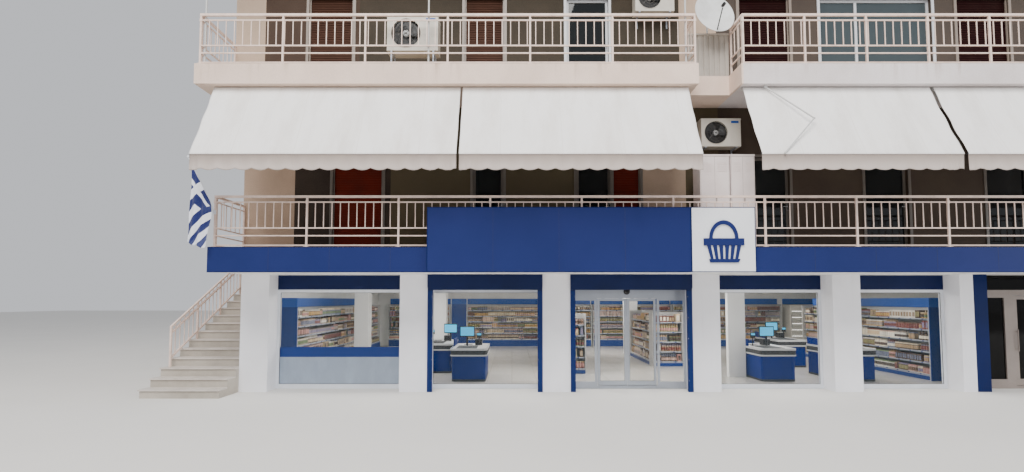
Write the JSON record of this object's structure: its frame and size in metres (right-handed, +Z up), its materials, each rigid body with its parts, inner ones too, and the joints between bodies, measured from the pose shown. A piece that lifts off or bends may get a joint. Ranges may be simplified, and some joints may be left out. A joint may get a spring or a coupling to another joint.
{
  "type": "supermarket building",
  "caption": "Neighbourhood supermarket under two storeys of flats with balconies, awnings, automatic sliding doors and an outside stair.",
  "frame": {"origin": "on the ground, under the middle of the recess between the two wings and the middle of the building's depth", "axes": "+X along the shopfront to the right as seen from the street, +Y from the street to the back, +Z up"},
  "size_m": [22.52, 14.1778, 11.4],
  "materials": {
    "awning_fabric": "matte",
    "black_plastic": "matte",
    "blue_paint": "satin",
    "cabinet_paint": "satin",
    "clear_glass": "polished",
    "column_paint": "matte",
    "concrete": "matte",
    "counter_plastic": "satin",
    "cream_plaster": "matte",
    "dark_glass": "polished",
    "dark_metal": "satin",
    "flag_fabric": "matte",
    "floor_tile": "satin",
    "header_plastic": "satin",
    "marble": "satin",
    "navy_metal": "satin",
    "olive_plaster": "matte",
    "railing_paint": "satin",
    "ribbed_sheet": "satin",
    "shelf_metal": "satin",
    "shutter_slats": "matte",
    "sign_panel": "satin",
    "sign_white": "satin",
    "silver_metal": "satin",
    "unit_casing": "satin",
    "white_metal": "satin",
    "white_paint": "matte"
  },
  "bodies": {
    "building": {"shop_floor": "floor_tile", "front_columns": "column_paint", "ground_left_wall": "cream_plaster", "ground_rear_wall": "cream_plaster", "ground_right_wall": "cream_plaster", "first_floor_slab": "concrete", "first_front_wall": "olive_plaster", "first_left_wall": "cream_plaster", "first_rear_wall": "cream_plaster", "first_right_wall": "cream_plaster", "second_floor_slab": "concrete", "second_front_wall": "olive_plaster", "second_left_wall": "cream_plaster", "second_rear_wall": "cream_plaster", "second_right_wall": "cream_plaster", "roof_slab": "concrete", "parapet": "concrete", "shop_frames": "white_metal", "shop_glass": "clear_glass", "header_panels": "navy_metal", "roller_boxes": "navy_metal", "sliding_door_frame": "silver_metal", "entrance_frame": "dark_metal", "entrance_glass": "dark_glass", "blue_pilaster": "blue_paint", "sign_bands": "sign_panel", "main_sign": "sign_panel", "square_sign": "sign_white", "first_railing": "railing_paint", "second_railing_left": "railing_paint", "second_railing_right": "railing_paint", "recess_screen": "ribbed_sheet", "roller_shutters": "shutter_slats", "window_frames": "white_metal", "window_glass": "dark_glass", "awning_cloth": "awning_fabric", "awning_hardware": "silver_metal", "cooling_units": "unit_casing", "cooling_brackets": "silver_metal", "satellite_dish": "silver_metal", "cabinets": "cabinet_paint", "side_stair": "concrete", "stair_treads": "marble", "stair_railing": "railing_paint", "flag_pole": "railing_paint", "flag": "flag_fabric", "inner_pillars": "white_paint", "wall_shelves": "shelf_metal", "floor_shelves": "shelf_metal", "shelf_headers": "header_plastic", "checkouts": "counter_plastic", "till_screens": "black_plastic", "glass_coolers": "unit_casing"},
    "left_door": {"left_door_leaf": "silver_metal", "left_door_glass": "clear_glass"},
    "right_door": {"right_door_leaf": "silver_metal", "right_door_glass": "clear_glass"},
    "entrance_door": {"entrance_leaf": "dark_metal", "entrance_leaf_glass": "dark_glass"}
  },
  "joints": [
    {"name": "left_door_slide", "type": "slide", "parent": "building", "child": "left_door", "axis": [-1, 0, 0], "range_m": [0, 0.66]},
    {"name": "right_door_slide", "type": "slide", "parent": "building", "child": "right_door", "axis": [1, 0, 0], "range_m": [0, 0.66]},
    {"name": "entrance_hinge", "type": "hinge", "parent": "building", "child": "entrance_door", "pos_m": [8.348, -5.48, 0], "axis": [0, 0, -1], "range_deg": [0, 90]}
  ],
  "couplings": [
    {"joint": "right_door_slide", "follows": "left_door_slide", "ratio": 1}
  ]
}
